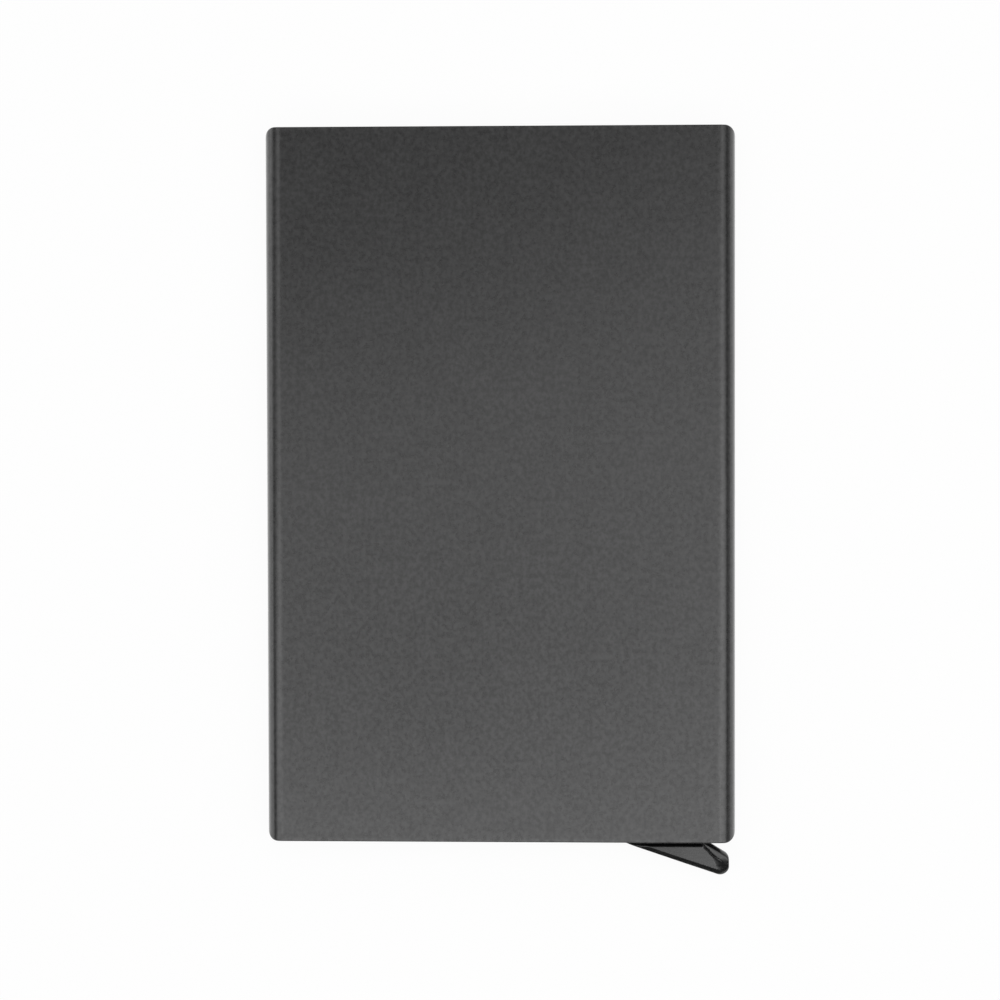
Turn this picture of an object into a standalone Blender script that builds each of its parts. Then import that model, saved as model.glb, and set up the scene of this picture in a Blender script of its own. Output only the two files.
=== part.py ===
"""Pocket holder for six bank cards: an aluminium sleeve with a lever in its base that fans the cards out.

The holder lies on its back. X runs across it, Y along it towards the mouth, Z from its back to its front.
The origin is the centre of the flat back face. Lengths are in metres.
"""

import math

import bmesh
import bpy
from mathutils import Matrix, Vector

MM = 0.001

# The bank card that the holder is made for
CARD_WIDTH = 53.98 * MM
CARD_LENGTH = 85.6 * MM
CARD_THICKNESS = 0.76 * MM
CARD_COUNT = 6
CARD_SETBACK = 0.8 * MM
STACK_SLACK = 0.74 * MM

# The sleeve: an extruded tube, open at the mouth and at the base
FACE_WALL = 0.9 * MM
SIDE_WALL = 1.0 * MM
EDGE_RADIUS = 2.4 * MM
BORE_RADIUS = 0.8 * MM
CORNER_RADIUS = 1.4 * MM

# Gaps between pieces
SEAT_GAP = 0.1 * MM
GLUE_GAP = 0.05 * MM
PIN_GAP = 0.05 * MM
RUN_GAP = 0.1 * MM
SLOT_GAP = 0.3 * MM
NECK_GAP = 0.5 * MM
STOP_GAP = 0.15 * MM
CUT_OVERRUN = 1.0 * MM

# The tray in the base, with its cover: together they carry the lever
TRAY_RECESS = 0.3 * MM
TRAY_FLOOR = 1.5 * MM
CHEEK = 0.8 * MM
LOW_CHEEK_HEIGHT = 3.0 * MM
BLOCK_WIDTH = 5.2 * MM
BOSS_RADIUS = 1.3 * MM
BOSS_SINK = 0.2 * MM
BOSS_PLACE_SHARES = (0.45, 0.88)
BRIDGE_THICKNESS = 2.4 * MM
BRIDGE_SETBACK = 2.1 * MM

# The lever and its pivot
LIFT_ANGLE = math.radians(25)
PIVOT_HEIGHT = 3.0 * MM
PIN_RADIUS = 1.0 * MM
PIN_CHAMFER = 0.15 * MM
BORE_CLEARANCE = 0.08 * MM
HUB_WALL = 1.02 * MM
HUB_GAP = 0.3 * MM
WASHER_STEP = 0.1 * MM
WASHER_THICKNESS = 0.2 * MM
NECK_STEP = 0.4 * MM
HEAD_REACH = 6.4 * MM
ARM_SETBACK = 0.2 * MM
ARM_CHEEK_GAP = 0.4 * MM
ARM_WALL_GAP = 0.25 * MM
ARM_TIP_GAP = 0.5 * MM
ARM_TIP_HEIGHT = 2.4 * MM
STEP_ROUNDING = 0.25 * MM
KEEL_SINK = 0.5 * MM
PLATE_ROUNDING = 0.4 * MM

# The thumb tab, the part of the lever that stands out of the base
TAB_SLOPE = math.radians(18.5)
TAB_EXIT = 16.08 * MM
NOSE_RADIUS = 1.2 * MM
NOSE_INSET = 0.8 * MM
FLANK_SLOPE = math.radians(31.5)
FLANK_EXIT = 4.36 * MM
NOTCH_INSET = 5.05 * MM
NOTCH_RADIUS = 0.4 * MM
POCKET_DEPTH = 0.7 * MM
POCKET_RUNOUT = 1.0 * MM
POCKET_SLOPE = math.radians(41)
POCKET_EXIT = 5.0 * MM
POCKET_NOSE_RIM = 1.7 * MM
POCKET_RISE = 0.25 * MM
POCKET_RADIUS = 0.45 * MM

# The pad that the lever rests on
BUMPER_TIP_HEIGHT = 0.9 * MM
BUMPER_LENGTH = 5.0 * MM
BUMPER_WIDTH = 3.2 * MM

# The four screws of the cover
SCREW_RADIUS = 0.5 * MM
SCREW_HOLE_GAP = 0.08 * MM
SCREW_HEAD_RADIUS = 0.9 * MM
SCREW_HEAD_HEIGHT = 0.5 * MM
SCREW_SINK = 0.05 * MM
SCREW_LENGTH = 4.0 * MM
SCREW_SLOT_WIDTH = 0.25 * MM
SCREW_SLOT_LENGTH = 1.2 * MM
SCREW_SLOT_DEPTH = 0.25 * MM
BRIDGE_SCREW_INSET = 2.0 * MM
PILOT_DEPTH = 0.3 * MM

# The catches that hold the tray and the rails in the sleeve
CATCH_REACH = 0.4 * MM
CATCH_HEIGHT = 1.4 * MM
CATCH_WIDTH = 3.0 * MM
CATCH_ROOT = 0.2 * MM
CATCH_GAP = 0.15 * MM
TRAY_CATCH_DROP = 1.9 * MM
RAIL_CATCH_DROP = 4.4 * MM

# The rails that guide the cards' long edges
RAIL_WIDTH = 3.15 * MM
RAIL_CARD_GAP = 0.26 * MM
RAIL_RECESS = 0.7 * MM
RAIL_LEAD_IN = 1.0 * MM

# The bowed leaf springs that hold the cards by their edges
SPRING_LENGTH = 38.0 * MM
SPRING_WIDTH = 3.8 * MM
SPRING_THICKNESS = 0.2 * MM
SPRING_DROP = 13.3 * MM
SPRING_POCKET_DEPTH = 1.3 * MM
SPRING_POCKET_GAP = 0.2 * MM
SPRING_CARD_GAP = 0.04 * MM

# The felt strips on the inside of the two faces
FELT_WIDTH = 8.0 * MM
FELT_LENGTH = 30.0 * MM
FELT_THICKNESS = 0.4 * MM
FELT_RADIUS = 1.5 * MM
FELT_INSET = 7.25 * MM
FELT_DROP = 6.0 * MM

# How finely round shapes are made
ARC_STEPS = 8
ROUND_STEPS = 24
SPRING_STEPS = 24
ROUNDING_STEPS = 3
WELD_DISTANCE = 0.001 * MM

# The lever's round end, worked out from its pin
HUB_RADIUS = PIN_RADIUS + BORE_CLEARANCE + HUB_WALL
WASHER_RADIUS = HUB_RADIUS - WASHER_STEP
NECK_RISE = HUB_RADIUS - NECK_STEP

# The sleeve's outside, worked out from the card and from what holds it
RAIL_FACE = CARD_WIDTH / 2 + RAIL_CARD_GAP
INSERT_HALF_WIDTH = RAIL_FACE + RAIL_WIDTH
BORE_HALF_WIDTH = INSERT_HALF_WIDTH + SEAT_GAP
HALF_WIDTH = BORE_HALF_WIDTH + SIDE_WALL
TRAY_HEIGHT = TRAY_FLOOR + PIVOT_HEIGHT + HUB_RADIUS + HUB_GAP + BRIDGE_THICKNESS
HALF_LENGTH = (TRAY_RECESS + TRAY_HEIGHT + CARD_LENGTH + CARD_SETBACK) / 2
BORE_DEPTH = CARD_COUNT * CARD_THICKNESS + STACK_SLACK + 2 * (GLUE_GAP + FELT_THICKNESS)
CASE_DEPTH = BORE_DEPTH + 2 * FACE_WALL
MID_DEPTH = CASE_DEPTH / 2

# What fits in the sleeve's bore
BORE_LOW = FACE_WALL
BORE_HIGH = CASE_DEPTH - FACE_WALL
INSERT_LOW = BORE_LOW + SEAT_GAP
INSERT_HIGH = BORE_HIGH - SEAT_GAP
INSERT_RADIUS = BORE_RADIUS - SEAT_GAP
TRAY_END = -HALF_LENGTH + TRAY_RECESS
FLOOR = TRAY_END + TRAY_FLOOR
LEDGE = TRAY_END + TRAY_HEIGHT
LOW_CHEEK_TOP = FLOOR + LOW_CHEEK_HEIGHT
BLOCK_FACE = -INSERT_HALF_WIDTH + BLOCK_WIDTH
CHAMBER_LOW = INSERT_LOW + CHEEK
CHAMBER_HIGH = INSERT_HIGH - CHEEK
TRAY_HIGH = CHAMBER_HIGH - SEAT_GAP
RAIL_LOW = LEDGE + SEAT_GAP
RAIL_HIGH = HALF_LENGTH - RAIL_RECESS
SPRING_CENTRE = RAIL_HIGH - SPRING_DROP - SPRING_LENGTH / 2

# The lever's places
PIVOT = Vector((BORE_HALF_WIDTH - HUB_GAP - HUB_RADIUS, FLOOR + PIVOT_HEIGHT))
BRIDGE_FACE = PIVOT.x - HEAD_REACH + BRIDGE_SETBACK
BRIDGE_UNDERSIDE = LEDGE - BRIDGE_THICKNESS
PLATE_LOW = CHAMBER_LOW + RUN_GAP + WASHER_THICKNESS + RUN_GAP
PLATE_HIGH = CHAMBER_HIGH - RUN_GAP - WASHER_THICKNESS - RUN_GAP
ARM_TOP = LEDGE - ARM_SETBACK
ARM_UNDERSIDE = LOW_CHEEK_TOP + ARM_CHEEK_GAP
ARM_LOW = BORE_LOW + ARM_WALL_GAP
ARM_HIGH = BORE_HIGH - ARM_WALL_GAP
ARM_ROOT = PIVOT.x - HEAD_REACH
ARM_TIP = BLOCK_FACE + ARM_TIP_GAP

# Colours are linear red, green and blue
FINISHES = {
    "anodised_aluminium": ((0.068, 0.068, 0.069), 0.42, 1.0),
    "black_plastic": ((0.012, 0.012, 0.013), 0.55, 0.0),
    "gloss_black_plastic": ((0.02, 0.02, 0.021), 0.3, 0.0),
    "steel": ((0.55, 0.56, 0.57), 0.25, 1.0),
    "spring_steel": ((0.45, 0.45, 0.44), 0.3, 1.0),
    "white_slip_plastic": ((0.7, 0.7, 0.68), 0.5, 0.0),
    "soft_rubber": ((0.03, 0.03, 0.03), 0.8, 0.0),
    "felt": ((0.02, 0.02, 0.022), 0.95, 0.0),
}


def clear_scene():
    """Remove what the file holds, and make the two collections."""
    for obj in list(bpy.data.objects):
        bpy.data.objects.remove(obj)
    made = []
    for name in ("card_holder", "cutters"):
        collection = bpy.data.collections.new(name)
        bpy.context.scene.collection.children.link(collection)
        made.append(collection)
    return made


PARTS, CUTTERS = clear_scene()


def finish_material(name):
    """The Principled material of one finish, made once."""
    material = bpy.data.materials.get(name)
    if material is None:
        colour, roughness, metallic = FINISHES[name]
        material = bpy.data.materials.new(name)
        material.use_nodes = True
        shader = material.node_tree.nodes["Principled BSDF"]
        shader.inputs["Base Color"].default_value = (*colour, 1.0)
        shader.inputs["Roughness"].default_value = roughness
        shader.inputs["Metallic"].default_value = metallic
    return material


def direction(angle):
    """A flat vector of length one, at this angle to the X axis."""
    return Vector((math.cos(angle), math.sin(angle)))


def arc(centre, radius, start, end, steps):
    """Points along an arc, both ends included."""
    angles = [start + (end - start) * i / steps for i in range(steps + 1)]
    return [centre + radius * direction(angle) for angle in angles]


def rounded(corners):
    """An outline through corners of (x, y, radius), each with an arc tangent to both its sides."""
    points = []
    for i, (x, y, radius) in enumerate(corners):
        corner = Vector((x, y))
        if not radius:
            points.append(corner)
            continue
        before = (Vector(corners[i - 1][:2]) - corner).normalized()
        after = (Vector(corners[(i + 1) % len(corners)][:2]) - corner).normalized()
        half = before.angle(after) / 2
        centre = corner + (before + after).normalized() * radius / math.sin(half)
        first = corner + before * radius / math.tan(half) - centre
        turn = first.angle_signed(corner + after * radius / math.tan(half) - centre)
        start = math.atan2(first.y, first.x)
        points += arc(centre, radius, start, start - turn, ARC_STEPS)
    return points


def mirrored(points, side):
    """The outline as it is on the right, or reflected for the left."""
    return [Vector((point.x * side, point.y)) for point in points]


def closed_mesh(obj):
    """Turn a curve object into a mesh object of the same name, with its caps welded on."""
    name = obj.name
    evaluated = obj.evaluated_get(bpy.context.evaluated_depsgraph_get())
    mesh = bpy.data.meshes.new_from_object(evaluated)
    mesh.transform(obj.matrix_world)
    bpy.data.objects.remove(obj)
    shape = bmesh.new()
    shape.from_mesh(mesh)
    bmesh.ops.remove_doubles(shape, verts=shape.verts, dist=WELD_DISTANCE)
    bmesh.ops.recalc_face_normals(shape, faces=shape.faces)
    shape.to_mesh(mesh)
    shape.free()
    solid = bpy.data.objects.new(name, mesh)
    PARTS.objects.link(solid)
    return solid


def prism(name, outlines, low, high, along="Z", rounding=0.0):
    """A solid from closed flat outlines, which hold (x, y) along Z and (x, z) along Y."""
    curve = bpy.data.curves.new(name, "CURVE")
    curve.dimensions = "2D"
    curve.fill_mode = "BOTH"
    curve.extrude = (high - low) / 2 - rounding
    curve.bevel_depth = rounding
    curve.bevel_resolution = ROUNDING_STEPS if rounding else 0
    curve.offset = -rounding
    for outline in outlines:
        spline = curve.splines.new("POLY")
        spline.points.add(len(outline) - 1)
        spline.use_cyclic_u = True
        for point, place in zip(spline.points, outline):
            point.co = (place.x, place.y, 0.0, 1.0)
    obj = bpy.data.objects.new(name, curve)
    bpy.context.scene.collection.objects.link(obj)
    middle = (low + high) / 2
    if along == "Y":
        obj.rotation_euler.x = math.pi / 2
        obj.location.y = middle
    else:
        obj.location.z = middle
    bpy.context.view_layer.update()
    return closed_mesh(obj)


def block(name, low, high):
    """A box between two corners, from a cube."""
    low, high = Vector(low), Vector(high)
    shape = bmesh.new()
    bmesh.ops.create_cube(shape, size=1.0)
    size = high - low
    bmesh.ops.scale(shape, vec=size, verts=shape.verts)
    bmesh.ops.translate(shape, vec=(low + high) / 2, verts=shape.verts)
    return object_from(shape, name)


def round_bar(name, place, low, high, radius, top_radius=None):
    """A cylinder along Z, or a cone where the top has a radius of its own."""
    shape = bmesh.new()
    bmesh.ops.create_cone(
        shape,
        cap_ends=True,
        segments=ROUND_STEPS,
        radius1=radius,
        radius2=radius if top_radius is None else top_radius,
        depth=high - low,
    )
    bmesh.ops.translate(shape, vec=(place.x, place.y, (low + high) / 2), verts=shape.verts)
    return object_from(shape, name)


def object_from(shape, name):
    """A mesh object in the parts collection, from a bmesh."""
    mesh = bpy.data.meshes.new(name)
    shape.to_mesh(mesh)
    shape.free()
    obj = bpy.data.objects.new(name, mesh)
    PARTS.objects.link(obj)
    return obj


def turned(name, place, profile):
    """A solid of revolution along Z, from a profile of (radius, z) that runs from top to bottom."""
    mesh = bpy.data.meshes.new(name)
    edges = [(i, i + 1) for i in range(len(profile) - 1)]
    mesh.from_pydata([(radius, 0.0, z) for radius, z in profile], edges, [])
    obj = bpy.data.objects.new(name, mesh)
    PARTS.objects.link(obj)
    obj.location = (place.x, place.y, 0.0)
    screw = obj.modifiers.new("turn", "SCREW")
    screw.axis = "Z"
    screw.steps = screw.render_steps = ROUND_STEPS
    screw.use_merge_vertices = True
    screw.merge_threshold = WELD_DISTANCE
    return obj


def boolean(obj, other, operation):
    """Cut obj by other, or join other to it, and put other among the cutters."""
    modifier = obj.modifiers.new(other.name, "BOOLEAN")
    modifier.operation = operation
    modifier.solver = "EXACT"
    modifier.object = other
    PARTS.objects.unlink(other)
    CUTTERS.objects.link(other)
    other.hide_render = True
    other.display_type = "WIRE"


def cut(obj, *cutters):
    for cutter in cutters:
        boolean(obj, cutter, "DIFFERENCE")


def join(obj, *others):
    for other in others:
        boolean(obj, other, "UNION")


def dress(obj, finish):
    """Give the piece its material, and shade what is round smoothly."""
    obj.data.materials.clear()
    obj.data.materials.append(finish_material(finish))
    obj.data.shade_smooth()
    obj.data.set_sharp_from_angle(angle=math.radians(30))
    return obj


def line_at(point, slope, y):
    """Where the line through point, at this angle to the X axis, reaches height y."""
    return Vector((point.x + (y - point.y) / math.tan(slope), y))


def line_over(point, slope, x):
    """Where the line through point, at this angle to the X axis, passes over x."""
    return Vector((x, point.y + (x - point.x) * math.tan(slope)))


def catch_outline(side, low, ramp_up):
    """The wedge of a catch on an insert's side wall, with its ramp above or below the flat face."""
    root = INSERT_HALF_WIDTH - CATCH_ROOT
    tip = INSERT_HALF_WIDTH + CATCH_REACH
    high = low + CATCH_HEIGHT
    flat, end = (low, high) if ramp_up else (high, low)
    points = [(root, flat), (tip, flat), (INSERT_HALF_WIDTH, end), (root, end)]
    return mirrored([Vector(point) for point in points], side)


def catch(name, side, low, ramp_up):
    z_low = MID_DEPTH - CATCH_WIDTH / 2
    return prism(name, [catch_outline(side, low, ramp_up)], z_low, z_low + CATCH_WIDTH)


def catch_pocket(name, side, low):
    """The blind pocket in the sleeve's side wall that a catch springs into."""
    inner = BORE_HALF_WIDTH - CUT_OVERRUN
    outer = INSERT_HALF_WIDTH + CATCH_REACH + CATCH_GAP
    x_low, x_high = sorted((side * inner, side * outer))
    half = CATCH_WIDTH / 2 + CATCH_GAP
    return block(
        name,
        (x_low, low - CATCH_GAP, MID_DEPTH - half),
        (x_high, low + CATCH_HEIGHT + CATCH_GAP, MID_DEPTH + half),
    )


TRAY_CATCH_LOW = LEDGE - TRAY_CATCH_DROP
RAIL_CATCH_LOW = RAIL_HIGH - RAIL_CATCH_DROP


def cross_section(half_width, low, high, low_radius, high_radius):
    """A rectangle in X and Z, with a radius for its two rear and its two front corners."""
    return rounded(
        [
            (half_width, low, low_radius),
            (half_width, high, high_radius),
            (-half_width, high, high_radius),
            (-half_width, low, low_radius),
        ]
    )


def corner_offcut(x_side, y_side):
    """What rounds one corner of the sleeve off, seen from the front."""
    centre = Vector((HALF_WIDTH - CORNER_RADIUS, HALF_LENGTH - CORNER_RADIUS))
    points = arc(centre, CORNER_RADIUS, 0.0, math.pi / 2, ARC_STEPS)
    points.append(Vector((centre.x, HALF_LENGTH + CUT_OVERRUN)))
    points.append(Vector((HALF_WIDTH + CUT_OVERRUN, HALF_LENGTH + CUT_OVERRUN)))
    points.append(Vector((HALF_WIDTH + CUT_OVERRUN, centre.y)))
    return [Vector((point.x * x_side, point.y * y_side)) for point in points]


def make_case():
    outer = cross_section(HALF_WIDTH, 0.0, CASE_DEPTH, EDGE_RADIUS, EDGE_RADIUS)
    inner = cross_section(BORE_HALF_WIDTH, BORE_LOW, BORE_HIGH, BORE_RADIUS, BORE_RADIUS)
    case = prism("case_shell", [outer, inner], -HALF_LENGTH, HALF_LENGTH, along="Y")
    offcuts = [corner_offcut(x_side, y_side) for x_side in (-1, 1) for y_side in (-1, 1)]
    cut(case, prism("corner_offcuts", offcuts, -CUT_OVERRUN, CASE_DEPTH + CUT_OVERRUN))
    for side in (-1, 1):
        cut(case, catch_pocket("tray_catch_pocket", side, TRAY_CATCH_LOW))
        cut(case, catch_pocket("rail_catch_pocket", side, RAIL_CATCH_LOW))
    return dress(case, "anodised_aluminium")


def tab_edge(offset=0.0):
    """Where the tab's long lower edge leaves the sleeve, or a line that far below it does."""
    return Vector((HALF_WIDTH - TAB_EXIT - offset / math.sin(TAB_SLOPE), -HALF_LENGTH))


FLANK = Vector((HALF_WIDTH - FLANK_EXIT, -HALF_LENGTH))
NOTCH = line_over(FLANK, -FLANK_SLOPE, HALF_WIDTH - NOTCH_INSET)
NOSE_SIDE = HALF_WIDTH - NOSE_INSET


def hub_tangent():
    """The angle at the hub of the point where the line from the notch touches it."""
    towards = NOTCH - PIVOT
    return math.atan2(towards.y, towards.x) + math.acos(HUB_RADIUS / towards.length)


def slot_outline():
    """The slot in the tray's floor for the tab, with slanted ends that follow the tab's edges."""
    low, high = TRAY_END - CUT_OVERRUN, FLOOR + CUT_OVERRUN
    angle = hub_tangent()
    left = tab_edge(SLOT_GAP)
    right = PIVOT + (HUB_RADIUS + NECK_GAP) * direction(angle)
    return [
        line_at(left, -TAB_SLOPE, high),
        line_at(left, -TAB_SLOPE, low),
        line_at(right, angle + math.pi / 2, low),
        line_at(right, angle + math.pi / 2, high),
    ]


def bridge_outline():
    """The ledge over the hub. Its slanted underside is what stops the lifted arm."""
    on_stop = PIVOT + (NECK_RISE + STOP_GAP) * direction(math.pi / 2 - LIFT_ANGLE)
    return [
        Vector((INSERT_HALF_WIDTH, BRIDGE_UNDERSIDE)),
        Vector((INSERT_HALF_WIDTH, LEDGE)),
        Vector((BRIDGE_FACE, LEDGE)),
        line_over(on_stop, -LIFT_ANGLE, BRIDGE_FACE),
        line_at(on_stop, -LIFT_ANGLE, BRIDGE_UNDERSIDE),
    ]


KEEL_START = line_at(tab_edge(), -TAB_SLOPE, ARM_UNDERSIDE).x


def boss_place(share):
    """The middle of a screw boss, this share of the way from the end block to the lever's keel."""
    x = BLOCK_FACE + (KEEL_START - BLOCK_FACE) * share
    return Vector((x, FLOOR + BOSS_RADIUS - BOSS_SINK))


BOSS_PLACES = [boss_place(share) for share in BOSS_PLACE_SHARES]
SCREW_PLACES = [
    Vector((BLOCK_FACE - BLOCK_WIDTH / 2, (TRAY_END + LEDGE) / 2)),
    *BOSS_PLACES,
    Vector((INSERT_HALF_WIDTH - BRIDGE_SCREW_INSET, (BRIDGE_UNDERSIDE + LEDGE) / 2)),
]
SCREW_TOP = INSERT_HIGH - SCREW_SINK
SCREW_END = SCREW_TOP - SCREW_LENGTH


def arm_window(name, low, high):
    """What opens a cheek over the low part, so that the full width of the arm can pass."""
    return block(
        name,
        (BLOCK_FACE, LOW_CHEEK_TOP, low),
        (BRIDGE_FACE, LEDGE + CUT_OVERRUN, high),
    )


def make_tray():
    section = cross_section(INSERT_HALF_WIDTH, INSERT_LOW, TRAY_HIGH, INSERT_RADIUS, 0.0)
    tray = prism("base_tray", [section], TRAY_END, LEDGE, along="Y")
    cut(
        tray,
        block(
            "lever_chamber",
            (BLOCK_FACE, FLOOR, CHAMBER_LOW),
            (INSERT_HALF_WIDTH + CUT_OVERRUN, LEDGE + CUT_OVERRUN, TRAY_HIGH + CUT_OVERRUN),
        ),
        arm_window("rear_arm_window", INSERT_LOW - CUT_OVERRUN, CHAMBER_LOW + CUT_OVERRUN),
        prism("tab_slot", [slot_outline()], CHAMBER_LOW, TRAY_HIGH + CUT_OVERRUN),
        round_bar(
            "rear_pin_hole",
            PIVOT,
            INSERT_LOW - CUT_OVERRUN,
            CHAMBER_LOW + CUT_OVERRUN,
            PIN_RADIUS + PIN_GAP,
        ),
    )
    root = CHAMBER_LOW - CHEEK / 2
    join(tray, prism("bridge", [bridge_outline()], root, TRAY_HIGH))
    for place in BOSS_PLACES:
        join(tray, round_bar("screw_boss", place, root, TRAY_HIGH, BOSS_RADIUS))
    for place in SCREW_PLACES:
        radius = SCREW_RADIUS + SCREW_HOLE_GAP
        low = SCREW_END - PILOT_DEPTH
        cut(tray, round_bar("pilot_hole", place, low, TRAY_HIGH + CUT_OVERRUN, radius))
    for side in (-1, 1):
        join(tray, catch("tray_catch", side, TRAY_CATCH_LOW, ramp_up=True))
    return dress(tray, "black_plastic")


def make_cover():
    section = cross_section(INSERT_HALF_WIDTH, CHAMBER_HIGH, INSERT_HIGH, 0.0, INSERT_RADIUS)
    cover = prism("tray_cover", [section], TRAY_END, LEDGE, along="Y")
    low, high = CHAMBER_HIGH - CUT_OVERRUN, INSERT_HIGH + CUT_OVERRUN
    cut(cover, arm_window("front_arm_window", low, high))
    cut(cover, round_bar("front_pin_hole", PIVOT, low, high, PIN_RADIUS + PIN_GAP))
    for place in SCREW_PLACES:
        radius = SCREW_RADIUS + SCREW_HOLE_GAP
        head = SCREW_HEAD_RADIUS + SCREW_HOLE_GAP
        sink = SCREW_TOP - SCREW_HEAD_HEIGHT
        # The cone goes on above the face at its own slope, so that its flare is cut clean.
        flare = (head - radius) * (high - sink) / SCREW_HEAD_HEIGHT
        cut(cover, round_bar("screw_hole", place, low, high, radius))
        cut(cover, round_bar("countersink", place, sink, high, radius, radius + flare))
    return dress(cover, "black_plastic")


def make_screw(name, place):
    head = SCREW_TOP - SCREW_HEAD_HEIGHT
    profile = [
        (0.0, SCREW_TOP),
        (SCREW_HEAD_RADIUS, SCREW_TOP),
        (SCREW_RADIUS, head),
        (SCREW_RADIUS, SCREW_END + SCREW_RADIUS),
        (0.0, SCREW_END),
    ]
    screw = turned(name, place, profile)
    half_length, half_width = SCREW_SLOT_LENGTH / 2, SCREW_SLOT_WIDTH / 2
    low, high = SCREW_TOP - SCREW_SLOT_DEPTH, SCREW_TOP + CUT_OVERRUN
    for half_x, half_y in ((half_length, half_width), (half_width, half_length)):
        corner = Vector((half_x, half_y))
        slot = block("driver_slot", (*(place - corner), low), (*(place + corner), high))
        cut(screw, slot)
    return dress(screw, "steel")


def make_pin():
    low, high = INSERT_LOW, INSERT_HIGH
    profile = [
        (0.0, high),
        (PIN_RADIUS - PIN_CHAMFER, high),
        (PIN_RADIUS, high - PIN_CHAMFER),
        (PIN_RADIUS, low + PIN_CHAMFER),
        (PIN_RADIUS - PIN_CHAMFER, low),
        (0.0, low),
    ]
    return dress(turned("pivot_pin", PIVOT, profile), "steel")


def make_washer(name, low):
    high = low + WASHER_THICKNESS
    washer = round_bar(name, PIVOT, low, high, WASHER_RADIUS)
    hole = PIN_RADIUS + BORE_CLEARANCE
    cut(washer, round_bar("washer_hole", PIVOT, low - CUT_OVERRUN, high + CUT_OVERRUN, hole))
    return dress(washer, "white_slip_plastic")


def plate_outline():
    """The lever's hub, keel and thumb tab, seen from the front."""
    keel = line_at(tab_edge(), -TAB_SLOPE, ARM_UNDERSIDE + KEEL_SINK)
    hub_start = hub_tangent()
    hub_end = math.pi - math.asin(NECK_RISE / HUB_RADIUS)
    corners = rounded(
        [
            (*keel, 0.0),
            (*line_over(tab_edge(), -TAB_SLOPE, NOSE_SIDE), NOSE_RADIUS),
            (*line_over(FLANK, -FLANK_SLOPE, NOSE_SIDE), NOSE_RADIUS),
            (*NOTCH, NOTCH_RADIUS),
            (*(PIVOT + HUB_RADIUS * direction(hub_start)), 0.0),
        ]
    )
    hub = arc(PIVOT, HUB_RADIUS, hub_start, hub_end, ROUND_STEPS)
    neck_end = Vector((keel.x, PIVOT.y + NECK_RISE))
    return corners[:-1] + hub + [neck_end]


def stair_outline():
    """The arm seen from the end: one step in thickness for each card, in X and Z."""
    rise = (ARM_HIGH - ARM_LOW) / CARD_COUNT
    tread = (ARM_ROOT - ARM_TIP) / (CARD_COUNT + 1)
    points = [Vector((ARM_ROOT, ARM_LOW)), Vector((ARM_ROOT, ARM_HIGH))]
    for step in range(CARD_COUNT - 1, -1, -1):
        tip = ARM_TIP + step * tread
        points.append(Vector((tip, ARM_LOW + (step + 1) * rise)))
        points.append(Vector((tip, ARM_LOW + step * rise)))
    return points


def arm_taper():
    """What slims the arm's underside towards its tip."""
    start = Vector((KEEL_START, ARM_UNDERSIDE))
    tip = Vector((ARM_TIP, ARM_TOP - ARM_TIP_HEIGHT))
    slope = math.atan2(tip.y - start.y, start.x - tip.x)
    end = line_over(start, -slope, ARM_TIP - CUT_OVERRUN)
    low = ARM_UNDERSIDE - CUT_OVERRUN
    outline = [start, end, Vector((end.x, low)), Vector((start.x, low))]
    return prism("arm_taper", [outline], ARM_LOW - CUT_OVERRUN, ARM_HIGH + CUT_OVERRUN)


def pocket_outline():
    """The hollow in each side of the tab, open at the long edge, with a ridge left round the nose."""
    nose = NOSE_SIDE - POCKET_NOSE_RIM
    top = -HALF_LENGTH + POCKET_RISE
    runout = tab_edge(POCKET_RUNOUT)
    shoulder = Vector((HALF_WIDTH - POCKET_EXIT, -HALF_LENGTH))
    return rounded(
        [
            (*runout, 0.0),
            (*line_over(runout, -TAB_SLOPE, nose), POCKET_RADIUS),
            (*line_over(shoulder, -POCKET_SLOPE, nose), POCKET_RADIUS),
            (*line_at(shoulder, -POCKET_SLOPE, top), 0.0),
            (runout.x, top, 0.0),
        ]
    )


def make_lever():
    lever = prism(
        "ejector_lever", [plate_outline()], PLATE_LOW, PLATE_HIGH, rounding=PLATE_ROUNDING
    )
    arm = prism("stepped_arm", [stair_outline()], ARM_UNDERSIDE, ARM_TOP, along="Y")
    bevel = arm.modifiers.new("step_rounding", "BEVEL")
    bevel.width = STEP_ROUNDING
    bevel.segments = 2
    bevel.limit_method = "ANGLE"
    cut(arm, arm_taper())
    join(lever, arm)
    outline = pocket_outline()
    cut(
        lever,
        prism("front_pocket", [outline], PLATE_HIGH - POCKET_DEPTH, PLATE_HIGH + CUT_OVERRUN),
        prism("rear_pocket", [outline], PLATE_LOW - CUT_OVERRUN, PLATE_LOW + POCKET_DEPTH),
        round_bar(
            "lever_bore",
            PIVOT,
            PLATE_LOW - CUT_OVERRUN,
            PLATE_HIGH + CUT_OVERRUN,
            PIN_RADIUS + BORE_CLEARANCE,
        ),
    )
    # The lever's origin is on the axis that it turns about.
    lever.data.transform(Matrix.Translation((-PIVOT.x, -PIVOT.y, 0.0)))
    lever.location = (PIVOT.x, PIVOT.y, 0.0)
    return dress(lever, "gloss_black_plastic")


def make_bumper():
    """The wedge under the keel, between it and the tray's floor."""
    floor = FLOOR + GLUE_GAP
    keel = tab_edge(SEAT_GAP)
    tip = line_at(keel, -TAB_SLOPE, floor + BUMPER_TIP_HEIGHT)
    heel = line_over(keel, -TAB_SLOPE, tip.x - BUMPER_LENGTH)
    outline = [Vector((heel.x, floor)), Vector((tip.x, floor)), tip, heel]
    half = BUMPER_WIDTH / 2
    bumper = prism("lever_bumper", [outline], MID_DEPTH - half, MID_DEPTH + half)
    return dress(bumper, "soft_rubber")


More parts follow.
